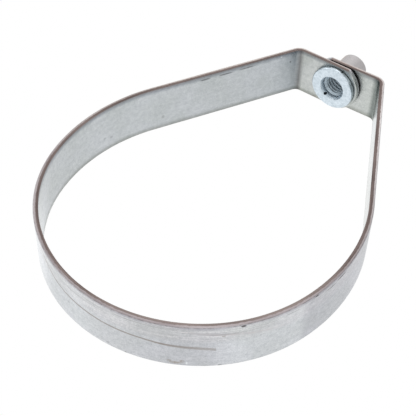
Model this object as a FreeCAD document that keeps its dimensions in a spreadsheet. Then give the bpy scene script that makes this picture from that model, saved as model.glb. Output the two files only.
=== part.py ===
# Swivel ring hanger for a 4 in nominal pipe, hung on a 3/8 in threaded rod.
#
# Frame: millimetres, +Z up along the rod, Y along the pipe, X across the ring.
# The origin is the centre of the pipe seat, halfway across the width of the strap.
#
# Pieces:
#   ring_band    one steel strap, bent to a teardrop ring, whose two ends lie one on the other at the top
#   swivel_nut   one flanged nut that hangs in the hole through both ends and turns there
import FreeCAD, Part
import math
import os

import Sketcher

# Driving dimensions: alias, value, what it is. Lengths are millimetres, angles are degrees.
SIZES = [
    ("band_width", 20.8, "width of the strap, along the pipe"),
    ("band_thickness", 1.95, "thickness of the strap"),
    ("seat_radius", 57.3, "inner radius of the ring where the pipe lies"),
    ("seat_end_angle", 15.0, "how far below the pipe's axis the seat's constant radius ends"),
    ("shoulder_radius", 68.35, "inner radius of the wider arcs above the seat"),
    ("flat_height", 93.8, "inner face of the flat top above the pipe's axis"),
    ("flat_half_length", 16.0, "axis of the nut to the bend at the inner end's leg"),
    ("outer_flat_extra", 0.6, "how much further out the bend at the outer end's leg starts"),
    ("bend_radius", 3.1, "inner radius of the two bends of the flat top"),
    ("outer_flat_rise", 0.9, "how much higher the outer end's flat is at its bend than at its tip"),
    ("layer_gap", 0.1, "space between the two ends at the outer end's tip"),
    ("end_reach", 10.7, "axis of the nut to the tip of a strap end"),
    ("end_flattening", 1.17, "how much larger the radius of an end's crown is than half the strap's width"),
    ("end_skew", 0.6, "how far the inner end's crown is off the middle of the strap, towards the front"),
    ("slit_edge_radius", 0.45, "rolled-over edge along the outer face of the strap"),
    ("barrel_radius", 5.95, "outer radius of the nut's barrel"),
    ("barrel_clearance", 0.1, "radial clearance of the barrel in the strap's hole"),
    ("barrel_stand", 12.55, "barrel above the tip of the outer end"),
    ("barrel_chamfer", 0.5, "chamfer round the top of the barrel"),
    ("flange_radius", 9.55, "outer radius of the nut's flange"),
    ("flange_thickness", 2.0, "thickness of the nut's flange"),
    ("flange_clearance", 0.1, "flange to the inner face of the flat top"),
    ("flange_edge_radius", 0.4, "rounding of the flange's two edges"),
    ("mouth_radius", 5.5, "lead-in of the bore at the flange's face"),
    ("mouth_depth", 1.2, "depth of the lead-in cone"),
    ("relief_radius", 4.85, "plain bore between the lead-in and the thread"),
    ("relief_length", 1.2, "length of the plain bore"),
    ("thread_core_radius", 3.99, "bore at the crests of the 3/8-16 thread"),
    ("top_mouth_radius", 4.85, "countersink of the bore at the top of the barrel"),
    ("trim_allowance", 2.0, "how far a cutting outline runs past what it cuts"),
]

# The points of a curve that a sketch constraint joins, and a sketch's own origin and axes
START, END, CENTRE = 1, 2, 3
ORIGIN = -1
ACROSS = -1
UPRIGHT = -2

# How nearly two lengths have to agree to count as the same
NEAR = 1e-6


class Size:
    """A number with the expression on the sheet that gives it, so that each formula is written once."""

    def __init__(self, number, cell):
        self.number = number
        self.cell = cell

    def __add__(self, other):
        return Size(self.number + other.number, "(%s + %s)" % (self.cell, other.cell))

    def __sub__(self, other):
        return Size(self.number - other.number, "(%s - %s)" % (self.cell, other.cell))

    def __mul__(self, other):
        return Size(self.number * other.number, "(%s * %s)" % (self.cell, other.cell))

    def __truediv__(self, other):
        return Size(self.number / other.number, "(%s / %s)" % (self.cell, other.cell))

    def sine(self):
        return Size(math.sin(math.radians(self.number)), "sin(%s * 1deg)" % self.cell)


SIZE = {alias: Size(value, "Sizes." + alias) for alias, value, note in SIZES}
TWO = Size(2, "2")

# Sizes that follow from the driving ones
LAYER_STEP = SIZE["band_thickness"] + SIZE["layer_gap"]
OUTER_FLAT = SIZE["flat_height"] + LAYER_STEP
OUTER_BEND_LEVEL = OUTER_FLAT + SIZE["outer_flat_rise"]
BETWEEN_LAYERS = OUTER_FLAT - SIZE["layer_gap"] / TWO
OUTER_DEPTH = LAYER_STEP + SIZE["outer_flat_rise"]
OUTER_BEND_START = SIZE["flat_half_length"] + SIZE["outer_flat_extra"]
SEAT_OUTER_RADIUS = SIZE["seat_radius"] + SIZE["band_thickness"]
SEAT_END_DROP = SIZE["seat_radius"] * SIZE["seat_end_angle"].sine()
BLANK_REACH = SIZE["end_reach"] + SIZE["trim_allowance"] / TWO
TRIM_REACH = SIZE["end_reach"] + SIZE["trim_allowance"]
HALF_WIDTH = SIZE["band_width"] / TWO
CROWN_RADIUS = HALF_WIDTH + SIZE["end_flattening"]
CROWN_BEHIND = CROWN_RADIUS - SIZE["end_reach"]
HOLE_RADIUS = SIZE["barrel_radius"] + SIZE["barrel_clearance"]
FLANGE_BACK = SIZE["flat_height"] - SIZE["flange_clearance"]
FLANGE_FRONT = FLANGE_BACK - SIZE["flange_thickness"]
BARREL_TOP = OUTER_FLAT + SIZE["band_thickness"] + SIZE["barrel_stand"]
MOUTH_END = FLANGE_FRONT + SIZE["mouth_depth"]
RELIEF_END = MOUTH_END + SIZE["relief_length"]
# both ends of the thread run out at 45 degrees
THREAD_START = RELIEF_END + SIZE["relief_radius"] - SIZE["thread_core_radius"]
THREAD_END = BARREL_TOP - SIZE["top_mouth_radius"] + SIZE["thread_core_radius"]


def number(alias):
    return SIZE[alias].number


def on_plane(x, y):
    return FreeCAD.Vector(x, y, 0)


def polar(centre, radius, degrees):
    angle = math.radians(degrees)
    return centre + on_plane(radius * math.cos(angle), radius * math.sin(angle))


def mirrored(point):
    return on_plane(-point.x, point.y)


def arc(centre, radius, start_degrees, end_degrees):
    """An arc that runs counter-clockwise between two directions from its centre."""
    circle = Part.Circle(centre, FreeCAD.Vector(0, 0, 1), radius)
    return Part.ArcOfCircle(circle, math.radians(start_degrees), math.radians(end_degrees))


def sides(points):
    """The straight sides from each point to the next."""
    return [Part.LineSegment(a, b) for a, b in zip(points, points[1:])]


def make_sheet(doc):
    sheet = doc.addObject("Spreadsheet::Sheet", "Sizes")
    for row, (alias, value, note) in enumerate(SIZES, start=1):
        sheet.set("A%d" % row, alias)
        sheet.set("B%d" % row, str(value))
        sheet.set("C%d" % row, note)
        sheet.setAlias("B%d" % row, alias)
    doc.recompute()


def new_body(doc, name):
    body = doc.addObject("PartDesign::Body", name)
    body.Label = name
    body.Placement = FreeCAD.Placement()
    return body


def new_sketch(body, name, plane_role):
    plane = next(feature for feature in body.Origin.OriginFeatures if feature.Role == plane_role)
    sketch = body.newObject("Sketcher::SketchObject", name)
    sketch.AttachmentSupport = [(plane, "")]
    sketch.MapMode = "FlatFace"
    return sketch


def between_layers(body, name, half_turned=False):
    """A level sketch halfway between the two strap ends, turned half round where asked."""
    sketch = new_sketch(body, name, "XY_Plane")
    turn = FreeCAD.Rotation(FreeCAD.Vector(0, 0, 1), 180 if half_turned else 0)
    sketch.AttachmentOffset = FreeCAD.Placement(FreeCAD.Vector(0, 0, 0), turn)
    sketch.setExpression("AttachmentOffset.Base.z", BETWEEN_LAYERS.cell)
    return sketch


def constrain(sketch, *rows):
    for row in rows:
        sketch.addConstraint(Sketcher.Constraint(*row))


def join(sketch, *curves):
    """Ties each curve's end to the next one's start."""
    for before, after in zip(curves, curves[1:]):
        constrain(sketch, ("Coincident", before, END, after, START))


def dimension(sketch, name, size, *constraint):
    """A named dimension bound to its expression on the sheet."""
    index = sketch.addConstraint(Sketcher.Constraint(*constraint, size.number))
    sketch.renameConstraint(index, name)
    sketch.setExpression("Constraints." + name, size.cell)


def strap_side(level, bend_start, tilt, offset):
    """The right side of the strap's face: shoulder arc, leg, bend, and where the flat starts."""
    seat_end = -number("seat_end_angle")
    flat_normal = 90 + tilt
    shoulder_centre = polar(on_plane(0, 0), number("seat_radius") - number("shoulder_radius"), seat_end)
    bend_centre = polar(on_plane(bend_start, level), -number("bend_radius"), flat_normal)
    between = bend_centre - shoulder_centre
    turn = math.acos((number("shoulder_radius") - number("bend_radius")) / between.Length)
    leg_normal = math.degrees(math.atan2(between.y, between.x) - turn)
    shoulder = (shoulder_centre, number("shoulder_radius") + offset, seat_end, leg_normal)
    bend = (bend_centre, number("bend_radius") + offset, leg_normal, flat_normal)
    leg = (polar(shoulder[0], shoulder[1], leg_normal), polar(bend[0], bend[1], leg_normal))
    return shoulder, leg, bend, polar(bend[0], bend[1], flat_normal)


def strap_face(offset):
    """The strap's face at an offset from its inner face, as nine tangent curves from end to end.

    It starts at the inner end on the right, runs left along the flat, down the left leg, round the
    seat, up the right leg and back to the outer end on the left.
    """
    blank = BLANK_REACH.number
    seat_end = number("seat_end_angle")
    shoulder, leg, bend, flat_start = strap_side(number("flat_height"), number("flat_half_length"), 0, offset)
    curves = [
        Part.LineSegment(on_plane(blank, flat_start.y), mirrored(flat_start)),
        arc(mirrored(bend[0]), bend[1], 180 - bend[3], 180 - bend[2]),
        Part.LineSegment(mirrored(leg[1]), mirrored(leg[0])),
        arc(mirrored(shoulder[0]), shoulder[1], 180 - shoulder[3], 180 - shoulder[2]),
        arc(on_plane(0, 0), number("seat_radius") + offset, 180 + seat_end, 360 - seat_end),
    ]
    slope = number("outer_flat_rise") / (OUTER_BEND_START.number + blank)
    shoulder, leg, bend, flat_start = strap_side(OUTER_BEND_LEVEL.number, OUTER_BEND_START.number,
                                                 math.degrees(math.atan(slope)), offset)
    curves += [
        arc(*shoulder),
        Part.LineSegment(*leg),
        arc(*bend),
        Part.LineSegment(flat_start, on_plane(-blank, flat_start.y - slope * (flat_start.x + blank))),
    ]
    return curves


def draw_strap(sketch):
    """The strap seen from its edge: its inner face, its outer face and the two ends that close them."""
    inner = list(range(9))
    outer = [index + len(inner) for index in inner]
    sketch.addGeometry(strap_face(0) + strap_face(number("band_thickness")), False)
    inner_flat, left_bend, left_leg, left_shoulder, seat = inner[:5]
    right_shoulder, right_leg, right_bend, outer_flat = inner[5:]
    for face in (inner, outer):
        for before, after in zip(face, face[1:]):
            constrain(sketch, ("Tangent", before, END, after, START))
        constrain(sketch, ("Horizontal", face[0]))
    constrain(sketch,
              ("Coincident", seat, CENTRE, ORIGIN, START),
              ("Symmetric", seat, START, seat, END, UPRIGHT),
              ("Equal", left_shoulder, right_shoulder),
              ("Equal", left_bend, right_bend))
    dimension(sketch, "seat_radius", SIZE["seat_radius"], "Radius", seat)
    dimension(sketch, "seat_end_drop", SEAT_END_DROP, "DistanceY", seat, END, ORIGIN, START)
    dimension(sketch, "shoulder_radius", SIZE["shoulder_radius"], "Radius", left_shoulder)
    dimension(sketch, "bend_radius", SIZE["bend_radius"], "Radius", left_bend)
    dimension(sketch, "inner_level", SIZE["flat_height"], "DistanceY", ORIGIN, START, inner_flat, END)
    dimension(sketch, "outer_level", OUTER_FLAT, "DistanceY", ORIGIN, START, outer_flat, END)
    dimension(sketch, "outer_bend_level", OUTER_BEND_LEVEL, "DistanceY", ORIGIN, START, outer_flat, START)
    dimension(sketch, "left_bend_start", SIZE["flat_half_length"],
              "DistanceX", inner_flat, END, ORIGIN, START)
    dimension(sketch, "right_bend_start", OUTER_BEND_START,
              "DistanceX", ORIGIN, START, outer_flat, START)
    dimension(sketch, "inner_blank", BLANK_REACH, "DistanceX", ORIGIN, START, inner_flat, START)
    dimension(sketch, "outer_blank", BLANK_REACH, "DistanceX", outer_flat, END, ORIGIN, START)
    # the outer face runs one thickness outside the inner one all the way round
    for index in (left_bend, left_shoulder, seat, right_shoulder, right_bend):
        constrain(sketch, ("Coincident", index, CENTRE, outer[index], CENTRE))
    for index in (left_leg, right_leg, outer_flat):
        constrain(sketch, ("Parallel", index, outer[index]))
    dimension(sketch, "seat_outer_radius", SEAT_OUTER_RADIUS, "Radius", outer[seat])
    # the ends are closed square here and trimmed round afterwards
    for index, point in ((inner_flat, START), (outer_flat, END)):
        cap = sketch.addGeometry(
            Part.LineSegment(sketch.getPoint(index, point), sketch.getPoint(outer[index], point)), False)
        constrain(sketch,
                  ("Coincident", cap, START, index, point),
                  ("Coincident", cap, END, outer[index], point),
                  ("Vertical", cap))


def draw_end_trim(sketch, skewed):
    """What is cut away round the strap end on the sketch's right, outside its crown."""
    half, far, radius = HALF_WIDTH.number, TRIM_REACH.number, CROWN_RADIUS.number
    high = half + number("trim_allowance")
    centre = on_plane(-CROWN_BEHIND.number, -number("end_skew") if skewed else 0)
    low, top = (math.asin((y - centre.y) / radius) for y in (-half, half))
    crown_arc = arc(centre, radius, math.degrees(low), math.degrees(top))
    front, back = (centre.x + radius * math.cos(angle) for angle in (low, top))
    around = [on_plane(back, half), on_plane(back, high), on_plane(far, high),
              on_plane(far, -high), on_plane(front, -high), on_plane(front, -half)]
    sketch.addGeometry([crown_arc] + sides(around), False)
    crown, rise, top, beyond, bottom, fall = range(6)
    join(sketch, crown, rise, top, beyond, bottom, fall, crown)
    constrain(sketch,
              ("Vertical", rise), ("Horizontal", top), ("Vertical", beyond),
              ("Horizontal", bottom), ("Vertical", fall), ("Equal", rise, fall))
    if skewed:
        dimension(sketch, "end_skew", SIZE["end_skew"], "DistanceY", crown, CENTRE, ORIGIN, START)
    else:
        constrain(sketch, ("PointOnObject", crown, CENTRE, ACROSS))
    dimension(sketch, "crown_radius", CROWN_RADIUS, "Radius", crown)
    dimension(sketch, "crown_centre", CROWN_BEHIND, "DistanceX", crown, CENTRE, ORIGIN, START)
    dimension(sketch, "front_half", HALF_WIDTH, "DistanceY", crown, START, ORIGIN, START)
    dimension(sketch, "back_half", HALF_WIDTH, "DistanceY", ORIGIN, START, crown, END)
    dimension(sketch, "trim_reach", TRIM_REACH, "DistanceX", ORIGIN, START, top, END)
    dimension(sketch, "allowance", SIZE["trim_allowance"], "DistanceY", rise, START, rise, END)


def draw_hole(sketch):
    """The round hole for the barrel."""
    circle = Part.Circle(on_plane(0, 0), FreeCAD.Vector(0, 0, 1), HOLE_RADIUS.number)
    hole = sketch.addGeometry(circle, False)
    constrain(sketch, ("Coincident", hole, CENTRE, ORIGIN, START))
    dimension(sketch, "hole_radius", HOLE_RADIUS, "Radius", hole)


def pocket(body, name, sketch, length, upwards=False, both_ways=False):
    """A pocket from a level sketch, downwards unless told otherwise, that has to take material away."""
    before = body.Tip.Shape.Volume
    feature = body.newObject("PartDesign::Pocket", name)
    feature.Profile = sketch
    feature.setExpression("Length", length.cell)
    feature.Reversed = upwards
    feature.SideType = "Symmetric" if both_ways else "One side"
    body.Document.recompute()
    if feature.Shape.Volume >= before:
        raise RuntimeError(name + " takes nothing away")


def dress(body, kind, name, edges, size_property, size):
    """A fillet or chamfer along edges of the body's last feature."""
    base = body.Tip
    feature = body.newObject(kind, name)
    feature.Base = (base, edges)
    feature.setExpression(size_property, size.cell)
    body.Document.recompute()


def edges_where(shape, wanted):
    return ["Edge%d" % count for count, edge in enumerate(shape.Edges, start=1) if wanted(edge)]


def slit_edge(edge):
    """Whether an edge runs round the outer face of the strap at one side of its width."""
    if any(abs(abs(vertex.Y) - HALF_WIDTH.number) > NEAR for vertex in edge.Vertexes):
        return False
    if abs(edge.Vertexes[0].Y - edge.Vertexes[-1].Y) > NEAR:
        return False
    middle = edge.valueAt((edge.FirstParameter + edge.LastParameter) / 2)
    point = Part.Vertex(on_plane(middle.x, middle.z))
    return any(curve.toShape().distToShape(point)[0] < NEAR for curve in strap_face(number("band_thickness")))


def full_circle(radius, heights):
    """A test for circular edges of one radius at the given heights."""
    def wanted(edge):
        if not isinstance(edge.Curve, Part.Circle) or abs(edge.Curve.Radius - radius) > NEAR:
            return False
        return any(abs(edge.Curve.Center.z - height) < NEAR for height in heights)
    return wanted


def make_band(doc):
    """The strap: padded from its edge outline, rolled over at its slit edges, trimmed and holed."""
    body = new_body(doc, "ring_band")
    outline = new_sketch(body, "StrapOutline", "XZ_Plane")
    draw_strap(outline)
    pad = body.newObject("PartDesign::Pad", "Strap")
    pad.Profile = outline
    pad.SideType = "Symmetric"
    pad.setExpression("Length", SIZE["band_width"].cell)
    doc.recompute()
    dress(body, "PartDesign::Fillet", "SlitEdges", edges_where(pad.Shape, slit_edge),
          "Radius", SIZE["slit_edge_radius"])
    inner_end = between_layers(body, "InnerEndTrim")
    draw_end_trim(inner_end, skewed=True)
    pocket(body, "InnerEnd", inner_end, LAYER_STEP)
    outer_end = between_layers(body, "OuterEndTrim", half_turned=True)
    draw_end_trim(outer_end, skewed=False)
    pocket(body, "OuterEnd", outer_end, OUTER_DEPTH, upwards=True)
    hole = between_layers(body, "BarrelHole")
    draw_hole(hole)
    pocket(body, "Hole", hole, OUTER_DEPTH * TWO, both_ways=True)
    return body


def draw_nut(sketch):
    """Half the nut's section, from the mouth of the bore round the flange and barrel and back down."""
    profile = [
        ("mouth_radius", FLANGE_FRONT),
        ("flange_radius", FLANGE_FRONT),
        ("flange_radius", FLANGE_BACK),
        ("barrel_radius", FLANGE_BACK),
        ("barrel_radius", BARREL_TOP),
        ("top_mouth_radius", BARREL_TOP),
        ("thread_core_radius", THREAD_END),
        ("thread_core_radius", THREAD_START),
        ("relief_radius", RELIEF_END),
        ("relief_radius", MOUTH_END),
    ]
    points = [on_plane(number(alias), height.number) for alias, height in profile]
    sketch.addGeometry(sides(points + points[:1]), False)
    join(sketch, *range(len(profile)), 0)
    # each corner is fixed by its radius from the axis and its height
    for corner, (alias, height) in enumerate(profile):
        dimension(sketch, "radius_%d" % corner, SIZE[alias], "DistanceX", ORIGIN, START, corner, START)
        dimension(sketch, "height_%d" % corner, height, "DistanceY", ORIGIN, START, corner, START)


def make_nut(doc):
    """The nut: turned from its section, then its outer edges broken."""
    body = new_body(doc, "swivel_nut")
    section = new_sketch(body, "NutSection", "XZ_Plane")
    draw_nut(section)
    turned = body.newObject("PartDesign::Revolution", "TurnedNut")
    turned.Profile = section
    turned.ReferenceAxis = (section, ["V_Axis"])
    turned.Angle = 360
    doc.recompute()
    rim = full_circle(number("flange_radius"), (FLANGE_FRONT.number, FLANGE_BACK.number))
    dress(body, "PartDesign::Fillet", "FlangeEdges", edges_where(turned.Shape, rim),
          "Radius", SIZE["flange_edge_radius"])
    top = full_circle(number("barrel_radius"), (BARREL_TOP.number,))
    dress(body, "PartDesign::Chamfer", "BarrelEdge", edges_where(body.Tip.Shape, top),
          "Size", SIZE["barrel_chamfer"])
    return body


def check(doc, bodies):
    """Stops if any object of the document failed or any piece is not one sound solid."""
    for item in doc.Objects:
        if "Invalid" in item.State or "Error" in item.State:
            raise RuntimeError("%s is %s" % (item.Name, item.State))
    for body in bodies:
        if body.Shape.isNull() or not body.Shape.isValid() or len(body.Shape.Solids) != 1:
            raise RuntimeError(body.Label + " is not one valid solid")


def main():
    doc = FreeCAD.newDocument("SwivelRingHanger")
    make_sheet(doc)
    bodies = [make_band(doc), make_nut(doc)]
    doc.recompute()
    check(doc, bodies)
    os.makedirs("parts", exist_ok=True)
    for body in bodies:
        body.Shape.exportStep("parts/%s.step" % body.Label)
        box = body.Shape.optimalBoundingBox(False)
        print("%s: volume %.1f mm3, box %.2f x %.2f x %.2f mm, z %.2f to %.2f"
              % (body.Label, body.Shape.Volume, box.XLength, box.YLength, box.ZLength, box.ZMin, box.ZMax))


main()
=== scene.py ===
# %% [markdown]
# # A swivel ring hanger
# This script dresses a steel ring that hangs a water pipe from a threaded rod. The
# measured solids come from the frame. Two visible pieces are made here: the strap,
# with its rolled and slit edges, and the nut, with a real thread cut in its bore.
# Lengths are written in millimetres and turned to metres where they meet the mesh.

import math

import bmesh
import bpy
from mathutils import Matrix, Vector, noise


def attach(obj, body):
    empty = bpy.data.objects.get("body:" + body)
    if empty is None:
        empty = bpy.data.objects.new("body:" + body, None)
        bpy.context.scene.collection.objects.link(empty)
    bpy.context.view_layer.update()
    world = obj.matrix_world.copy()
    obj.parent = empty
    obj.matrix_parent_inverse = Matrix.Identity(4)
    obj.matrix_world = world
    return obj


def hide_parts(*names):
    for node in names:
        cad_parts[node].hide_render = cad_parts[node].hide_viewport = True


MM = 0.001
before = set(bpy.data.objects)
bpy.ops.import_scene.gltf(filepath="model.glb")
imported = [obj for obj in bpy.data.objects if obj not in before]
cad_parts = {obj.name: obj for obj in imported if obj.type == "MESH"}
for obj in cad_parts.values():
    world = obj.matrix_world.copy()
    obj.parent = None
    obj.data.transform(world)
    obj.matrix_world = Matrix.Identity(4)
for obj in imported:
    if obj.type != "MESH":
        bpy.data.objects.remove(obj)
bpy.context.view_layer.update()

# %% [markdown]
# ## The camera
# The ring was photographed lying on the edge of its strap, so in the frame of a hanging
# ring the camera stands low in front of it, looks up and is rolled. Its place and lens
# come from a fit of the ring's outline, and its three axes are written out as they are,
# because an angle for each would hide what they mean.

# %% Camera
FRAME_SIDE = 416
FOCAL_PIXELS = 1013.734
SENSOR = 36.0
CAMERA_PLACE = Vector((0.14834, -0.26896, -0.20604))
CAMERA_RIGHT = Vector((0.80373, -0.02396, 0.59451))
CAMERA_UP = Vector((-0.44288, -0.69133, 0.57089))
CAMERA_BACK = Vector((0.39732, -0.72214, -0.56626))

camera_data = bpy.data.cameras.new("camera")
camera_data.sensor_width = SENSOR
camera_data.lens = SENSOR * FOCAL_PIXELS / FRAME_SIDE
camera_data.clip_start = 0.01
camera = bpy.data.objects.new("camera", camera_data)
bpy.context.scene.collection.objects.link(camera)
axes = Matrix((CAMERA_RIGHT, CAMERA_UP, CAMERA_BACK)).transposed()
camera.matrix_world = Matrix.Translation(CAMERA_PLACE) @ axes.to_4x4()
bpy.context.scene.camera = camera
print("camera lens %.1f mm, %.0f mm from the ring's centre"
      % (camera_data.lens, CAMERA_PLACE.length / MM))

# %% [markdown]
# ## Small tools for materials
# A colour is chosen on a screen as a hex value, but Blender mixes light in linear
# numbers, so one function turns one into the other. Materials are trees of nodes. One
# function adds a node with its settings and its links, so that each finish below reads
# as a list of what it is made of.

# %% Colours and nodes
def linear(hex_colour):
    """A screen colour such as "b4b8b7" as linear red, green, blue and full alpha."""
    channels = [int(hex_colour[place:place + 2], 16) / 255 for place in (0, 2, 4)]
    return [c / 12.92 if c <= 0.04045 else ((c + 0.055) / 1.055) ** 2.4 for c in channels] + [1.0]


def add(tree, kind, inputs=(), **settings):
    """Adds one node. Inputs are numbers, colours or another node's output, by name or number."""
    node = tree.nodes.new("ShaderNode" + kind)
    for name, value in settings.items():
        setattr(node, name, value)
    for key, value in dict(inputs).items():
        if isinstance(value, bpy.types.NodeSocket):
            tree.links.new(value, node.inputs[key])
        else:
            node.inputs[key].default_value = value
    return node


def new_material(name):
    """An empty material with only its output node."""
    material = bpy.data.materials.new(name)
    material.use_nodes = True
    material.node_tree.nodes.clear()
    return material, material.node_tree


def new_piece(name, bm):
    """Turns a finished bmesh into an object whose place is in its mesh."""
    mesh = bpy.data.meshes.new(name)
    bm.to_mesh(mesh)
    bm.free()
    piece = bpy.data.objects.new(name, mesh)
    bpy.context.scene.collection.objects.link(piece)
    return piece


def triangles(piece):
    """How many triangles the piece's faces make."""
    return sum(len(face.vertices) - 2 for face in piece.data.polygons)


# %% [markdown]
# ## The strap's shape
# The ring is one strip of galvanised sheet. A maker cuts the strip, crops its ends
# round, punches the holes and only then bends it, so it is made in that order here.
# While it is flat, every point has simple coordinates: along the strip, across it, and
# through its thickness. Those stay on the mesh as an attribute after bending, and the
# finish is painted in them: what the rolling mill, the slitter and years of handling did,
# with some painted shade and light.
#
# First come the bends. The inner face is nine runs: straight, bend, leg, shoulder, seat,
# shoulder, leg, bend, straight. A run is a straight of some length or an arc. The sizes
# are those of the measured solids.

# %% Sizes of the strap
WIDTH = 20.8
THICKNESS = 1.95
SEAT_RADIUS = 57.3
SEAT_END_ANGLE = 15.0
SHOULDER_RADIUS = 68.35
FLAT_HEIGHT = 93.8
FLAT_HALF_LENGTH = 16.0
OUTER_FLAT_EXTRA = 0.6
OUTER_FLAT_RISE = 0.9
BEND_RADIUS = 3.1
LAYER_GAP = 0.1
END_REACH = 10.7
END_FLATTENING = 1.17
END_SKEW = 0.6
BLANK_ALLOWANCE = 1.0
BLANK_REACH = END_REACH + BLANK_ALLOWANCE
HOLE_RADIUS = 6.05
OUTER_EDGE_RADIUS = 0.45
OUTER_FLAT_HEIGHT = FLAT_HEIGHT + THICKNESS + LAYER_GAP


def leg_side(height, bend_start, tilt=0.0):
    """The shoulder's centre, the bend's centre and the angle of the leg's normal, on the right."""
    low = math.radians(-SEAT_END_ANGLE)
    shoulder = Vector((math.cos(low), math.sin(low))) * (SEAT_RADIUS - SHOULDER_RADIUS)
    bend = around(Vector((bend_start, height)), -BEND_RADIUS, 90 + tilt)
    between = bend - shoulder
    turn = math.acos((SHOULDER_RADIUS - BEND_RADIUS) / between.length)
    return shoulder, bend, math.degrees(math.atan2(between.y, between.x) - turn)


def straight(start, end):
    """A straight run between two points."""
    return {"length": (end - start).length, "start": start, "along": (end - start).normalized()}


def bent(centre, radius, start_angle, end_angle):
    """A run that is an arc between two angles."""
    return {"length": math.radians(end_angle - start_angle) * radius,
            "centre": centre, "radius": radius, "angle": math.radians(start_angle)}


def around(centre, radius, degrees):
    """The point on a circle at an angle."""
    angle = math.radians(degrees)
    return centre + radius * Vector((math.cos(angle), math.sin(angle)))


def mirrored(point):
    """The same point on the ring's other side."""
    return Vector((-point.x, point.y))


middle = Vector((0.0, 0.0))
shoulder, bend, lean = leg_side(FLAT_HEIGHT, FLAT_HALF_LENGTH)
shoulder, bend = mirrored(shoulder), mirrored(bend)
runs = [
    straight(Vector((END_REACH, FLAT_HEIGHT)), Vector((-FLAT_HALF_LENGTH, FLAT_HEIGHT))),
    bent(bend, BEND_RADIUS, 90, 180 - lean),
    straight(around(bend, BEND_RADIUS, 180 - lean), around(shoulder, SHOULDER_RADIUS, 180 - lean)),
    bent(shoulder, SHOULDER_RADIUS, 180 - lean, 180 + SEAT_END_ANGLE),
    bent(middle, SEAT_RADIUS, 180 + SEAT_END_ANGLE, 360 - SEAT_END_ANGLE),
]
outer_bend_start = FLAT_HALF_LENGTH + OUTER_FLAT_EXTRA
slope = OUTER_FLAT_RISE / (outer_bend_start + BLANK_REACH)
tilt = math.degrees(math.atan(slope))
shoulder, bend, lean = leg_side(OUTER_FLAT_HEIGHT + OUTER_FLAT_RISE, outer_bend_start, tilt)
tip_height = OUTER_FLAT_HEIGHT + slope * BLANK_ALLOWANCE
runs += [
    bent(shoulder, SHOULDER_RADIUS, -SEAT_END_ANGLE, lean),
    straight(around(shoulder, SHOULDER_RADIUS, lean), around(bend, BEND_RADIUS, lean)),
    bent(bend, BEND_RADIUS, lean, 90 + tilt),
    straight(around(bend, BEND_RADIUS, 90 + tilt), Vector((-END_REACH, tip_height))),
]
run_starts = [sum(run["length"] for run in runs[:count]) for count in range(len(runs))]
STRIP_LENGTH = run_starts[-1] + runs[-1]["length"]
print("strip length %.1f mm in %d runs" % (STRIP_LENGTH, len(runs)))

# %% [markdown]
# ## The flat blank
# A grid gives the blank even rows and columns. Its columns are set so that one falls at
# the start of each run, closer together where the strip bends sharply. Near each end the
# columns are drawn in towards the hole's line until the last one is the cropped arc. For
# the hole, a square of faces is taken out, and its border is extruded inwards onto a
# circle, which keeps the mesh in quads where a boolean would leave slivers. Once the
# strip is bent, the two holes lie one over the other.

# %% Blank strip
ROWS = 20
COLUMN_STEP = 1.05
BEND_STEP = 0.34
HOLE_SQUARE = 7.4

columns = [0.0]
for run, start in zip(runs, run_starts):
    step = BEND_STEP if run.get("radius") == BEND_RADIUS else COLUMN_STEP
    count = math.ceil(run["length"] / step)
    columns += [start + run["length"] * (number + 1) / count for number in range(count)]

strip = bmesh.new()
bmesh.ops.create_grid(strip, x_segments=len(columns) - 1, y_segments=ROWS, size=0.5)
for vert in strip.verts:
    vert.co.x = columns[round((vert.co.x + 0.5) * (len(columns) - 1))]
    vert.co.y *= WIDTH

hole_lines = (END_REACH, STRIP_LENGTH - END_REACH / math.cos(math.radians(tilt)))
squares = []
for line in hole_lines:
    squares.append([face for face in strip.faces
                    if abs(face.calc_center_median().x - line) < HOLE_SQUARE
                    and abs(face.calc_center_median().y) < HOLE_SQUARE])

CROWN_RADIUS = WIDTH / 2 + END_FLATTENING
for vert in strip.verts:
    for line, side, skew in zip(hole_lines, (-1, 1), (END_SKEW, 0.0)):
        beyond = (vert.co.x - line) * side
        if beyond > 0:
            tip_at = math.sqrt(CROWN_RADIUS ** 2 - (vert.co.y + skew) ** 2) - CROWN_RADIUS + END_REACH
            vert.co.x = line + side * beyond * tip_at / END_REACH

for line, square in zip(hole_lines, squares):
    inside = set(square)
    border = [edge for face in square for edge in face.edges
              if not inside.issuperset(edge.link_faces)]
    bmesh.ops.delete(strip, geom=square, context="FACES")
    grown = bmesh.ops.extrude_edge_only(strip, edges=border)
    centre = Vector((line, 0, 0))
    for vert in grown["geom"]:
        if isinstance(vert, bmesh.types.BMVert):
            vert.co = centre + (vert.co - centre).normalized() * HOLE_RADIUS
print("flat blank: %d faces, holes of %d sides" % (len(strip.faces), len(border)))

# %% [markdown]
# ## Thickness and edges
# The sheet gets its thickness, and then its edges. A slitting knife pulls the outer face
# down over the edge as it enters and leaves a small sharp burr on the other side, so the
# outer long edges get a wide soft bevel and all the others only a hairline one. A long
# edge is never quite straight: the slit wanders by a few hundredths of a millimetre.

# %% Thickness, bevels and the slit's wander
BURR_RADIUS = 0.09
SHARP_ANGLE = math.radians(60)
SLIT_WANDER = 0.05
SLIT_WAVE = 9.0
SIDES_APART = 5
NEAR = 0.01

bmesh.ops.recalc_face_normals(strip, faces=strip.faces[:])
flat_faces = strip.faces[:]
thick = bmesh.ops.extrude_face_region(strip, geom=flat_faces, use_keep_orig=True)
upper = [item for item in thick["geom"] if isinstance(item, bmesh.types.BMVert)]
bmesh.ops.translate(strip, verts=upper, vec=(0, 0, THICKNESS))
bmesh.ops.recalc_face_normals(strip, faces=strip.faces[:])


def sharp(edge):
    """Whether the surface turns a corner at this edge."""
    return len(edge.link_faces) == 2 and edge.calc_face_angle() > SHARP_ANGLE


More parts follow.
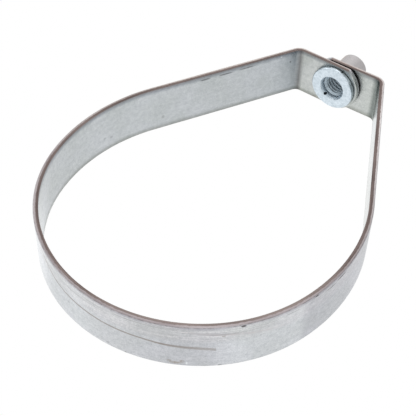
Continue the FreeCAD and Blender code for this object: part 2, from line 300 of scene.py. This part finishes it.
def outer_slit(edge):
    """Whether the edge runs along the strip's long side, on the outer face."""
    return all(abs(vert.co.y) > WIDTH / 2 - NEAR and vert.co.z > THICKNESS - NEAR for vert in edge.verts)


bmesh.ops.bevel(strip, geom=[edge for edge in strip.edges if sharp(edge) and outer_slit(edge)],
                offset=OUTER_EDGE_RADIUS, offset_type="OFFSET", affect="EDGES", segments=4,
                profile=0.5, material=-1, clamp_overlap=True)
bmesh.ops.bevel(strip, geom=[edge for edge in strip.edges if sharp(edge)],
                offset=BURR_RADIUS, offset_type="OFFSET", affect="EDGES", segments=2,
                profile=0.5, material=-1, clamp_overlap=True)
for vert in strip.verts:
    if abs(vert.co.y) > WIDTH / 2 - OUTER_EDGE_RADIUS:
        side = math.copysign(1, vert.co.y)
        wave = noise.noise(Vector((vert.co.x / SLIT_WAVE, side * SIDES_APART, vert.co.z)))
        vert.co.y -= side * SLIT_WANDER * abs(wave)
print("blank with edges: %d faces" % len(strip.faces))

# %% [markdown]
# ## Bending
# Each point of the blank is carried to its place on the ring: along the runs by its
# distance along the strip, and outwards by its height in the sheet. A Curve modifier
# could do this too, but it would stretch the inner face, and this keeps every run's
# radius exact. The flat coordinates are stored first.

# %% Bend the blank
def on_ring(along, out):
    """Where a point of the blank lies on the ring's side view."""
    count = max(number for number, start in enumerate(run_starts) if start <= max(along, 0.0))
    run = runs[count]
    past = along - run_starts[count]
    if "centre" in run:
        angle = run["angle"] + past / run["radius"]
        return run["centre"] + (run["radius"] + out) * Vector((math.cos(angle), math.sin(angle)))
    outward = Vector((run["along"].y, -run["along"].x))
    return run["start"] + run["along"] * past + outward * out


SMOOTH_BELOW = math.radians(38)
blank = strip.verts.layers.float_vector.new("blank")
for vert in strip.verts:
    vert[blank] = vert.co
    place = on_ring(vert.co.x, vert.co.z)
    vert.co = Vector((place.x, vert.co.y, place.y)) * MM
bmesh.ops.recalc_face_normals(strip, faces=strip.faces[:])
for face in strip.faces:
    face.smooth = True
for edge in strip.edges:
    edge.smooth = len(edge.link_faces) == 2 and edge.calc_face_angle() < SMOOTH_BELOW
ring_strap = new_piece("ring_strap", strip)
print("ring_strap: %d triangles" % triangles(ring_strap))

# %% [markdown]
# ## Galvanised steel
# The strip is cut from sheet that was dipped in zinc. Zinc freezes in small crystals that
# catch light a little differently, so the cool light grey is finely mottled, and it
# reflects softly. Rolling and handling leave the rest: tones that change slowly along the
# strip, a few scuffs and one long scored line on the outer face. Painted shade darkens the
# long edges and the places where the strip is bent sharply, and painted light brightens
# stretches of the outer face.
#
# Where the slitter cut through, there is no zinc. The knife first shears the metal, which
# stays smooth and light, and then it tears, and the torn part has gone brown.
#
# The tools below add nodes to the newest material, which tree names, and return what
# the last node gives. Lengths along, across and through the strip are in millimetres.

# %% Tools for painting along the strip
strap_finish, tree = new_material("galvanised_sheet_slit_edges")
flat = add(tree, "Attribute", attribute_name="blank", attribute_type="GEOMETRY").outputs["Vector"]
along_across_deep = add(tree, "SeparateXYZ", {0: flat})
along, across, deep = (along_across_deep.outputs[axis] for axis in "XYZ")


def maths(operation, first, second=0.0, third=0.0):
    """One step of arithmetic on numbers or other nodes' outputs."""
    return add(tree, "Math", {0: first, 1: second, 2: third}, operation=operation).outputs[0]


def product(*factors):
    """All the factors multiplied together."""
    result = factors[0]
    for factor in factors[1:]:
        result = maths("MULTIPLY", result, factor)
    return result


def fade(value, start, end, first=0.0, last=1.0):
    """Goes from first to last while the value goes from start to end."""
    return add(tree, "MapRange", {0: value, 1: start, 2: end, 3: first, 4: last}, clamp=True).outputs[0]


def cloud(scale, detail, vector=flat, roughness=0.5):
    """Soft noise from 0 to 1, whose patches are about 1 / scale wide."""
    return add(tree, "TexNoise", {"Vector": vector, "Scale": scale, "Detail": detail,
                                  "Roughness": roughness}).outputs["Fac"]


def drawn_out(stretch):
    """The strip's coordinates, such that a pattern is drawn out along the strip."""
    return add(tree, "Mapping", {"Vector": flat, "Scale": (stretch, 1.0, 1.0)}).outputs[0]


def blend(factor, first, second):
    """A number between two others."""
    return add(tree, "Mix", {"Factor": factor, 2: first, 3: second}).outputs[0]


def mixed(factor, first, second, how="MIX"):
    """A colour between two others, or the two combined in another way."""
    return add(tree, "Mix", {"Factor": factor, 6: first, 7: second}, data_type="RGBA",
               blend_type=how).outputs[2]


def ramp(value, stops):
    """A colour ramp from (position, hex colour) stops."""
    node = add(tree, "ValToRGB", {0: value})
    elements = node.color_ramp.elements
    for position, colour in stops[1:-1]:
        elements.new(position)
    for element, (position, colour) in zip(elements, stops):
        element.position = position
        element.color = linear(colour)
    return node.outputs[0]


def over_width(stops):
    """A ramp over the strip's width from (mm from its middle, hex colour) stops."""
    return ramp(fade(across, -WIDTH / 2, WIDTH / 2),
                [(place / WIDTH + 0.5, colour) for place, colour in stops])


def over_length(stops, where=along):
    """A ramp over the strip's length from (mm along it, hex colour) stops."""
    return ramp(fade(where, 0, STRIP_LENGTH),
                [(place / STRIP_LENGTH, colour) for place, colour in stops])


# %% Zinc with its crystals, tones, and painted shade and light
outside = fade(deep, 0.9, 1.05)
ragged = cloud(0.9, 4.0)
fine_ragged = cloud(3.0, 3.0)
crystal = cloud(0.55, 4.0, roughness=0.62)
grain = cloud(2.2, 3.0, roughness=0.65)
streak = cloud(1.4, 5.0, drawn_out(0.04), 0.6)
worked = blend(0.16, blend(0.5, crystal, grain), streak)
zinc = ramp(worked, [(0.34, "bdc2c6"), (0.66, "e3e7ea")])
# slow changes of tone, some millimetres to centimetres across
tone = cloud(0.07, 3.0)
zinc = mixed(fade(tone, 0.4, 0.62), mixed(1.0, zinc, linear("f6f7f5"), "MULTIPLY"), zinc)

# painted shade darkens the strip along its long edges, most of all on the inner face
inner_rim_shade = over_width([
    (-10.4, "b0aaab"), (-9.9, "bab8ba"), (-9.3, "cbcdd1"), (-8.8, "e0e2e4"), (-8.4, "f4f5f6"),
    (-7.9, "ffffff"), (7.8, "ffffff"), (8.5, "f6f6f5"), (9.0, "e4e4e2"), (9.6, "d4d4d0"),
    (10.4, "cfcfca")])
outer_rim_shade = over_width([
    (-10.4, "e2dbde"), (-9.9, "e6e0e3"), (-9.4, "f2eeef"), (-9.0, "fffcfb"), (-4.5, "fefafa"),
    (-2.0, "fdfbfc"), (9.4, "fdfbfc"), (10.4, "eeebec")])
rim_shade = mixed(outside, inner_rim_shade, outer_rim_shade)
zinc = mixed(fade(grain, 0.3, 0.6, 0.75, 1.0), zinc, mixed(1.0, zinc, rim_shade, "MULTIPLY"))
# the inner face: painted shade in a fine line in the left bend, at the top of the left leg
# and in a broad band in the right bend, and painted light that changes slowly along the strip
inner_shade_and_tones = over_length([
    (0.0, "e4e4de"), (27.3, "e8e7e2"), (27.7, "9b9896"), (28.1, "989695"), (28.5, "bbbcbd"),
    (30.0, "c4c7c9"), (33.0, "d7d9dc"), (40.0, "e5e6e7"), (60.0, "eaeaea"), (100.0, "efefef"),
    (346.0, "e2dfdc"), (375.0, "e8e5e1"), (400.0, "f0f0ee"), (408.0, "efefef"), (413.8, "d5d7d2"),
    (414.6, "b4b8b3"), (416.5, "aaaea9"), (417.8, "989c97"), (418.3, "c8cac4"), (418.9, "f0efe9"),
    (422.0, "eeede8"), (445.0, "e8e7e2")])
# the outer face: lighter stretches, painted light where it faces the light, with duller ones between,
# whose borders are ragged
ragged_along = maths("MULTIPLY_ADD", fine_ragged, 3.0, maths("SUBTRACT", along, 1.5))
outer_light_and_tones = over_length([
    (0.0, "e6e5e6"), (190.0, "ffffff"), (215.0, "ffffff"), (226.0, "f5f4f4"), (250.0, "e9e8e9"),
    (260.0, "ecebec"), (270.0, "ffffff"), (293.5, "ffffff"), (295.0, "e9e8ea"), (322.0, "e8e7e9"),
    (335.0, "e9e8e9"), (445.0, "e6e5e6")], ragged_along)
zinc = mixed(1.0, zinc, mixed(outside, inner_shade_and_tones, outer_light_and_tones), "MULTIPLY")
# the rolls left fine dull and bright lines along the rim, most of all at the seat's left
lines = cloud(2.4, 2.0, drawn_out(0.022))
by_the_rim = product(fade(across, -2.5, -6.0), outside,
                     maths("MULTIPLY", fade(along, 172.0, 186.0), fade(along, 305.0, 270.0)))
zinc = mixed(product(fade(lines, 0.55, 0.66, 0.0, 0.4), by_the_rim), zinc, linear("928f90"))
broken = fade(grain, 0.38, 0.55, 0.3, 1.0)
zinc = mixed(product(fade(lines, 0.45, 0.34, 0.0, 0.45), maths("MULTIPLY", by_the_rim, broken)),
             zinc, linear("fbf8f6"))
print("zinc: %d nodes" % len(tree.nodes))

# %% [markdown]
# ## Marks on the zinc
# A scuff or spot is an ellipse on the strip, with a ragged border. It is given by its
# place along and across the strip, its half length and half width and the face it is on.
# The long scored line drifts across the outer face, so its place across is a ramp of its
# place along.

# %% Scuffs, spots and the scored line
INNER, OUTER = 0.0, THICKNESS
FACE_REACH = 0.5


def spot(place, width, half_length, half_width, face):
    """A mask that is 1 inside a ragged ellipse on one face.

    The distance is 1 on the ellipse, and the noise adds about 0.6 to it, more or less."""
    near = add(tree, "VectorMath", {0: flat, 1: (place, width, face)}, operation="SUBTRACT").outputs[0]
    near = add(tree, "VectorMath", {0: near, 1: (half_length, half_width, FACE_REACH)},
               operation="DIVIDE").outputs[0]
    away = add(tree, "VectorMath", {0: near}, operation="LENGTH").outputs["Value"]
    return fade(maths("MULTIPLY_ADD", fine_ragged, 1.2, away), 1.75, 1.35)


def together(masks):
    """One mask that is 1 wherever any of the masks is."""
    total = masks[0]
    for mask in masks[1:]:
        total = maths("MAXIMUM", total, mask)
    return total


scuffs = together([
    spot(71.8, -8.5, 2.2, 0.42, INNER), spot(62.6, -8.45, 3.2, 0.36, INNER),
    spot(53.0, -8.6, 3.6, 0.3, INNER), spot(32.4, -5.3, 0.4, 0.6, INNER),
    spot(233.8, 10.0, 0.5, 0.4, OUTER), spot(264.9, 10.0, 0.7, 0.4, OUTER),
    spot(306.0, -8.4, 3.0, 0.3, OUTER),
])
gouges = together([
    spot(271.9, -9.6, 0.9, 0.5, OUTER), spot(298.8, -9.8, 0.9, 0.33, OUTER),
    spot(311.6, -9.0, 2.8, 0.42, OUTER),
])
faint = together([
    spot(90.6, 4.8, 0.7, 0.8, INNER), spot(114.6, 5.0, 0.8, 0.6, INNER),
    spot(118.0, 3.9, 0.6, 0.5, INNER), spot(227.1, 8.8, 0.8, 0.5, OUTER),
    spot(210.0, 1.5, 0.7, 0.5, OUTER), spot(289.0, -8.5, 2.5, 0.25, OUTER),
])
stains = together([
    spot(250.6, 8.8, 2.4, 0.7, OUTER), spot(252.8, 7.9, 0.9, 0.8, OUTER),
    spot(248.6, 8.1, 0.9, 0.5, OUTER), spot(265.8, -5.8, 0.6, 0.5, OUTER),
    spot(19.2, 10.1, 1.2, 0.5, INNER),
])
bright = together([spot(36.9, -9.15, 0.45, 0.25, INNER), spot(254.3, 8.8, 0.3, 0.8, OUTER)])
for marks, strength, colour in (
        (scuffs, 0.75, "666769"), (gouges, 0.9, "504a4c"), (faint, 0.35, "777a7c"),
        (stains, fade(grain, 0.42, 0.6, 0.15, 0.75), "8a7f72"), (bright, 0.7, "e4e8ea")):
    zinc = mixed(maths("MULTIPLY", marks, strength), zinc, linear(colour))

SCORE_FROM, SCORE_TO = 190.0, 264.0
SCORE_STOPS = 263.5
LOWEST, HIGHEST = -8.0, 2.0
score_path = [(191.0, -7.9), (193.4, -7.1), (198.8, -5.0), (203.0, -3.2), (208.3, -2.2), (214.5, -1.75),
              (225.0, -1.15), (239.6, -0.95), (248.3, -0.2), (256.8, 0.2), (261.0, 0.65), (263.3, 1.1)]
path_ramp = add(tree, "ValToRGB", {0: fade(along, SCORE_FROM, SCORE_TO)})
for number in range(len(score_path) - 2):
    path_ramp.color_ramp.elements.new(0.5)
for element, (place, width) in zip(path_ramp.color_ramp.elements, score_path):
    level = (width - LOWEST) / (HIGHEST - LOWEST)
    element.color = (level, level, level, 1.0)
    element.position = (place - SCORE_FROM) / (SCORE_TO - SCORE_FROM)
line_at = fade(path_ramp.outputs[0], 0.0, 1.0, LOWEST, HIGHEST)
off_line = maths("ABSOLUTE", maths("SUBTRACT", across, line_at))
line_width = fade(along, 240.0, 257.0, 0.36, 0.62)
score = fade(maths("DIVIDE", maths("MULTIPLY_ADD", fine_ragged, 0.25, off_line), line_width), 1.65, 0.9)
# it sets in softly, weakens a little near its end and stops short
score = product(score, maths("MULTIPLY", outside, maths("LESS_THAN", along, SCORE_STOPS)),
                maths("MULTIPLY", fade(along, 190.0, 196.0), fade(along, 246.0, 260.0, 1.0, 0.7)))
zinc = mixed(maths("MULTIPLY", score, fade(streak, 0.3, 0.65, 0.6, 0.9)), zinc, linear("888079"))

# a second line, hardly there, runs nearer the rim and slants towards its middle
SECOND_SLANT = 0.127
SECOND_OFFSET = -40.18
second_at = maths("MULTIPLY_ADD", along, SECOND_SLANT, SECOND_OFFSET)
second = fade(maths("ABSOLUTE", maths("SUBTRACT", across, second_at)), 0.7, 0.3)
second = product(second, outside,
                 maths("MULTIPLY", fade(along, 250.0, 258.0), fade(along, 292.0, 276.0)))
zinc = mixed(maths("MULTIPLY", second, fade(grain, 0.38, 0.6, 0.0, 0.4)), zinc, linear("a3979a"))
print("zinc with its marks: %d nodes" % len(tree.nodes))

# %% [markdown]
# ## The slit edges
# How far up the tear goes wanders along the edge, and the sheared part above it is
# lightest at the flat top and the right leg. A thin dark line runs where it rolls over
# into the outer face.

# %% Slit edges
half_width = maths("ABSOLUTE", across)
on_edge = fade(half_width, WIDTH / 2 - 0.16, WIDTH / 2 - 0.07)
# the ramp's grey says how high the tear reaches, where white is TEAR_REACH above black
TEAR_REACH = 0.75
tear_top = over_length([
    (0.0, "808080"), (60.0, "707070"), (150.0, "808080"), (210.0, "808080"), (235.0, "606060"),
    (285.0, "606060"), (310.0, "989898"), (340.0, "b0b0b0"), (413.0, "b8b8b8"), (421.0, "909090"),
    (445.0, "909090")])
above_tear = maths("SUBTRACT", deep, maths("MULTIPLY", tear_top, TEAR_REACH))
torn = fade(maths("MULTIPLY_ADD", ragged, 0.6, above_tear), 1.3, 1.1)
rust = ramp(streak, [(0.3, "5e5250"), (0.7, "8a7c78")])
# under the seat the rust is rubbed lighter
rubbed = maths("MULTIPLY", fade(along, 215.0, 240.0, 0.0, 0.3), fade(along, 318.0, 295.0))
rust = mixed(rubbed, rust, linear("b0a5a1"))
sheared = over_length([
    (0.0, "b0a6a2"), (30.0, "c2b9b4"), (90.0, "c0b7b2"), (150.0, "a9a2a3"), (210.0, "a9a2a3"),
    (240.0, "bfb7b9"), (285.0, "bfb7b9"), (310.0, "a69e9f"), (340.0, "b4aeae"), (360.0, "ccc7c7"),
    (412.0, "d0cbca"), (420.0, "c8c0bc"), (445.0, "b4aaa6")])
sheared = mixed(fade(streak, 0.35, 0.6), mixed(1.0, sheared, linear("d8d4d4"), "MULTIPLY"), sheared)
colour = mixed(on_edge, zinc, mixed(torn, sheared, rust))
rolled_line = product(fade(deep, 1.66, 1.76), fade(deep, 1.93, 1.85), fade(half_width, 9.9, 10.0),
                      fade(ragged, 0.4, 0.62, 0.05, 0.5))
colour = mixed(rolled_line, colour, linear("4c4445"))

# %% [markdown]
# ## Painted shade in the crevices
# Shade is painted into the colour where two surfaces nearly touch: under the flange's rim,
# between the two strap ends and in the mouth of the bore. Ambient occlusion finds those
# places, over a distance of a millimetre or so.

# %% Join the strap's finish
def painted_crevice_shade(colour, reach, darkest):
    """The colour, darkened with painted shade where other surfaces lie closer than the reach."""
    openness = add(tree, "AmbientOcclusion", {"Distance": reach * MM}, samples=8).outputs["AO"]
    return mixed(1.0, colour, fade(openness, 0.15, 0.85, darkest, 1.0), "MULTIPLY")


gloss = blend(on_edge, fade(worked, 0.3, 0.7, 0.38, 0.3), 0.55)
height = maths("SUBTRACT", blend(on_edge, worked, ragged), score)
relief = add(tree, "Bump", {"Strength": 0.12, "Distance": 0.2 * MM, "Height": height})
# the strap's colour takes painted shade within 1.4 mm of other surfaces
steel = add(tree, "BsdfPrincipled", {"Base Color": painted_crevice_shade(colour, 1.4, 0.35), "Metallic": 1.0,
                                     "Roughness": gloss, "Normal": relief.outputs[0]})
add(tree, "OutputMaterial", {"Surface": steel.outputs[0]})
ring_strap.data.materials.append(strap_finish)
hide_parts("ring_band")
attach(ring_strap, "band")
print("strap finish: %d nodes" % len(tree.nodes))

# %% [markdown]
# ## The nut
# The nut is turned from bar: a flange, a barrel, a lead-in cone at the mouth and a bore
# that is tapped through. On a lathe the half section goes round the axis, and spin does
# the same here: a polyline of the half section is spun through a full turn.

# %% Turn the nut
BARREL_RADIUS = 5.95
BARREL_CHAMFER = 0.5
FLANGE_RADIUS = 9.55
FLANGE_THICKNESS = 2.0
FLANGE_EDGE_RADIUS = 0.4
MOUTH_RADIUS = 5.5
MOUTH_DEPTH = 1.2
MOUTH_EDGE = 0.12
RELIEF_RADIUS = 4.85
RELIEF_LENGTH = 1.2
CORE_RADIUS = 3.99
SEAT_CLEARANCE = 0.1
BARREL_SHOWS = 12.55
FLANGE_BACK = FLAT_HEIGHT - SEAT_CLEARANCE
FLANGE_FRONT = FLANGE_BACK - FLANGE_THICKNESS
BARREL_TOP = OUTER_FLAT_HEIGHT + THICKNESS + BARREL_SHOWS
MOUTH_END = FLANGE_FRONT + MOUTH_DEPTH
RELIEF_END = MOUTH_END + RELIEF_LENGTH
RUN_OUT = RELIEF_RADIUS - CORE_RADIUS
AROUND = 144
WELD = 0.001

half_section = [
    (MOUTH_RADIUS, FLANGE_FRONT), (FLANGE_RADIUS, FLANGE_FRONT), (FLANGE_RADIUS, FLANGE_BACK),
    (BARREL_RADIUS, FLANGE_BACK), (BARREL_RADIUS, BARREL_TOP), (RELIEF_RADIUS, BARREL_TOP),
    (CORE_RADIUS, BARREL_TOP - RUN_OUT), (CORE_RADIUS, RELIEF_END + RUN_OUT),
    (RELIEF_RADIUS, RELIEF_END), (RELIEF_RADIUS, MOUTH_END),
]


def spun(bm, points, turns, steps, rise=0.0):
    """Spins a closed outline of (radius, height) points about the upright axis.

    It climbs by rise in each turn, and closes on itself where it doesn't climb."""
    verts = [bm.verts.new((radius, 0, height)) for radius, height in points]
    edges = [bm.edges.new(pair) for pair in zip(verts, verts[1:] + verts[:1])]
    bmesh.ops.spin(bm, geom=verts + edges, cent=(0, 0, 0), axis=(0, 0, 1), angle=math.tau * turns,
                   steps=steps, dvec=(0, 0, rise * turns / steps), use_merge=rise == 0)


turned = bmesh.new()
spun(turned, half_section, 1, AROUND)
bmesh.ops.remove_doubles(turned, verts=turned.verts[:], dist=WELD)
bmesh.ops.recalc_face_normals(turned, faces=turned.faces[:])


def ring_edges(bm, radius, heights):
    """The edges that run round the axis at a radius and at any of the given heights."""
    return [edge for edge in bm.edges
            if all(abs(Vector(vert.co.xy).length - radius) < NEAR for vert in edge.verts)
            and any(all(abs(vert.co.z - height) < NEAR for vert in edge.verts) for height in heights)]


bmesh.ops.bevel(turned, geom=ring_edges(turned, FLANGE_RADIUS, (FLANGE_FRONT, FLANGE_BACK)),
                offset=FLANGE_EDGE_RADIUS, affect="EDGES", segments=4, profile=0.5, material=-1)
bmesh.ops.bevel(turned, geom=ring_edges(turned, BARREL_RADIUS, (BARREL_TOP,)),
                offset=BARREL_CHAMFER, affect="EDGES", segments=1, profile=0.5, material=-1)
bmesh.ops.bevel(turned, geom=ring_edges(turned, MOUTH_RADIUS, (FLANGE_FRONT,)),
                offset=MOUTH_EDGE, affect="EDGES", segments=2, profile=0.5, material=-1)
bmesh.ops.scale(turned, vec=(MM, MM, MM), verts=turned.verts[:])
nut = new_piece("flanged_nut", turned)
print("turned nut: %d faces" % len(nut.data.polygons))

# %% [markdown]
# ## The thread
# A tap cuts the thread, so a tap is what is made: the shape of one tooth, spun up and
# round at the thread's pitch. It is a 3/8 in rod's thread, 16 to the inch. The tap is
# taken away from the nut with a boolean, and the thread then starts and ends in the
# bore's cones as a real one does, with a crest that thins to nothing.

# %% Cut the thread
PITCH = 25.4 / 16
THREAD_RADIUS = 4.79
THREAD_ANGLE = 60
ROOT_FLAT = 0.22
# the tap reaches a little inside the crests, starts in the relief and ends past the barrel
TAP_CORE = CORE_RADIUS - 0.25
TAP_START = RELIEF_END - 0.75
TAP_END = BARREL_TOP + 1.0
TAP_STEPS = 72
THREAD_WELD = 0.002
THREAD_SMOOTH_BELOW = math.radians(30)

flank = (THREAD_RADIUS - TAP_CORE) * math.tan(math.radians(THREAD_ANGLE / 2))
tooth = [(TAP_CORE, TAP_START - ROOT_FLAT / 2 - flank), (THREAD_RADIUS, TAP_START - ROOT_FLAT / 2),
         (THREAD_RADIUS, TAP_START + ROOT_FLAT / 2), (TAP_CORE, TAP_START + ROOT_FLAT / 2 + flank)]
turns = math.ceil((TAP_END - TAP_START) / PITCH)
tap = bmesh.new()
spun(tap, tooth, turns, turns * TAP_STEPS, PITCH)
bmesh.ops.holes_fill(tap, edges=[edge for edge in tap.edges if edge.is_boundary])
bmesh.ops.recalc_face_normals(tap, faces=tap.faces[:])
bmesh.ops.scale(tap, vec=(MM, MM, MM), verts=tap.verts[:])
tap_tool = new_piece("thread_tap", tap)

cut = nut.modifiers.new("thread", "BOOLEAN")
cut.operation = "DIFFERENCE"
cut.solver = "EXACT"
cut.object = tap_tool
depsgraph = bpy.context.evaluated_depsgraph_get()
threaded = bpy.data.meshes.new_from_object(nut.evaluated_get(depsgraph))
nut.modifiers.clear()
nut.data = threaded
bpy.data.objects.remove(tap_tool)

finished = bmesh.new()
finished.from_mesh(nut.data)
bmesh.ops.remove_doubles(finished, verts=finished.verts[:], dist=THREAD_WELD * MM)
for face in finished.faces:
    face.smooth = True
for edge in finished.edges:
    edge.smooth = len(edge.link_faces) == 2 and edge.calc_face_angle() < THREAD_SMOOTH_BELOW
loose = sum(not edge.is_manifold for edge in finished.edges)
finished.to_mesh(nut.data)
finished.free()
print("flanged_nut: %d triangles, %d open edges, %d turns" % (triangles(nut), loose, turns))

# %% [markdown]
# ## Bright zinc plating
# The nut was turned and then plated in a bath, so its zinc is thin, smooth and bluish,
# and the lathe tool's fine rings still show on the flange. Inside the bore, and where the
# flange nearly touches the strap, painted shade makes it darker.

# %% Zinc plate
nut_finish, tree = new_material("bright_zinc_plate_turned")
on_nut = add(tree, "TexCoord").outputs["Object"]
sideways_back_up = add(tree, "SeparateXYZ", {0: on_nut})
sideways, back, up = (sideways_back_up.outputs[axis] for axis in "XYZ")
from_axis = add(tree, "CombineXYZ", {0: sideways, 1: back}).outputs[0]
radius = add(tree, "VectorMath", {0: from_axis}, operation="LENGTH").outputs["Value"]
haze = cloud(900.0, 4.0, on_nut)
plate = ramp(haze, [(0.35, "bfcbd3"), (0.65, "d5e0e8")])
# the bore is painted darker, as painted shade inside it
plate = mixed(fade(radius, 4.84 * MM, 4.7 * MM, 0.0, 0.5), plate, linear("8b9aa2"))
# the barrel is duller, with a faint warm tarnish on one side
barrel = maths("MULTIPLY", fade(up, 95 * MM, 97 * MM, 0.0, 0.8), fade(radius, 5.0 * MM, 5.1 * MM))
plate = mixed(barrel, plate, linear("a9a19f"))
warm_side = maths("MULTIPLY", fade(sideways, -3.0 * MM, -5.8 * MM, 0.0, 0.6), barrel)
plate = mixed(warm_side, plate, linear("c4ae9a"))
# two small dark nicks, in the lead-in and on the flange's rim, with uneven borders
chipped = cloud(700.0, 1.0, on_nut)
nicks = []
for nick_place, nick_size in (((-2.95, 4.3, 92.1), 0.9), ((3.02, -9.04, 93.2), 0.45)):
    centre = [number * MM for number in nick_place]
    away = add(tree, "VectorMath", {0: on_nut, 1: centre}, operation="DISTANCE").outputs["Value"]
    away = maths("MULTIPLY_ADD", chipped, 1.6 * nick_size * MM, away)
    nicks.append(fade(away, 1.75 * nick_size * MM, 1.55 * nick_size * MM))
plate = mixed(together(nicks), plate, linear("1c2024"))
# the lathe tool's rings are drawn coarser than the real ones, so that they show
FEED = 0.35
rings = maths("SINE", maths("MULTIPLY", radius, math.tau / (FEED * MM)))
relief = add(tree, "Bump", {"Strength": 0.06, "Distance": 0.1 * MM, "Height": rings})
satin = fade(barrel, 0.0, 0.8, fade(radius, 5.5 * MM, 5.4 * MM, 0.3, 0.5), 0.55)
# the plate takes painted shade within 0.4 mm of other surfaces, in the bore and under the flange's rim
metal = add(tree, "BsdfPrincipled", {"Base Color": painted_crevice_shade(plate, 0.4, 0.7), "Metallic": 1.0,
                                     "Roughness": satin, "Normal": relief.outputs[0]})
add(tree, "OutputMaterial", {"Surface": metal.outputs[0]})
nut.data.materials.clear()
nut.data.materials.append(nut_finish)
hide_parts("swivel_nut")
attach(nut, "nut")
print("nut finish: %d nodes" % len(tree.nodes))

# %% [markdown]
# ## Floor, sky and lamps
# The hanger hangs, so the floor lies well below it, under the camera as well. Metal shows
# what surrounds it, and a light tent surrounds the object with white, so the sky is white
# to the camera and to reflections. The floor is white paint, and shines a little of its
# own for those same rays, because its far part gets less of the lamps. Large soft lamps
# give the forms their shading.

# %% Studio
FLOOR_HEIGHT = -0.30
FLOOR_RADIUS = 3.0
FLOOR_LIFT = 0.36
SKY_LIGHT = 0.7
SKY_SEEN = 1.0
WHITE = (1.0, 1.0, 1.0, 1.0)


def seen_ray():
    """1 for a ray that is seen: straight from the camera, in a reflection or through glass."""
    ray = add(tree, "LightPath").outputs
    seen = maths("MAXIMUM", ray["Is Camera Ray"], ray["Is Glossy Ray"])
    return maths("MAXIMUM", seen, ray["Is Transmission Ray"])


bm = bmesh.new()
bmesh.ops.create_circle(bm, cap_ends=True, segments=96, radius=FLOOR_RADIUS,
                        matrix=Matrix.Translation((0, 0, FLOOR_HEIGHT)))
floor = new_piece("floor", bm)
floor_finish, tree = new_material("matt_white_paint")
lift = maths("MULTIPLY", seen_ray(), FLOOR_LIFT)
paint = add(tree, "BsdfPrincipled", {"Base Color": linear("f0f0f0"), "Roughness": 0.9,
                                     "Emission Color": WHITE, "Emission Strength": lift})
add(tree, "OutputMaterial", {"Surface": paint.outputs[0]})
floor.data.materials.append(floor_finish)

world = bpy.data.worlds.new("light_tent")
bpy.context.scene.world = world
world.use_nodes = True
tree = world.node_tree
tree.nodes.clear()
strength = fade(seen_ray(), 0.0, 1.0, SKY_LIGHT, SKY_SEEN)
sky = add(tree, "Background", {"Color": WHITE, "Strength": strength})
add(tree, "OutputWorld", {"Surface": sky.outputs[0]})


def lamp(name, place, size, power):
    """A square soft lamp that faces the ring's middle."""
    data = bpy.data.lights.new(name, "AREA")
    data.size = size
    data.energy = power
    item = bpy.data.objects.new(name, data)
    item.location = place
    item.rotation_euler = (-Vector(place)).to_track_quat("-Z", "Y").to_euler()
    bpy.context.scene.collection.objects.link(item)


lamp("left", (-0.9, -0.45, 0.15), 0.6, 2.0)
lamp("overhead", (-0.2, -0.4, 0.9), 0.7, 1.5)
lamp("behind", (-0.62, 0.8, 0.42), 0.8, 0.8)
bpy.context.scene.view_settings.view_transform = "Standard"
print("studio ready")
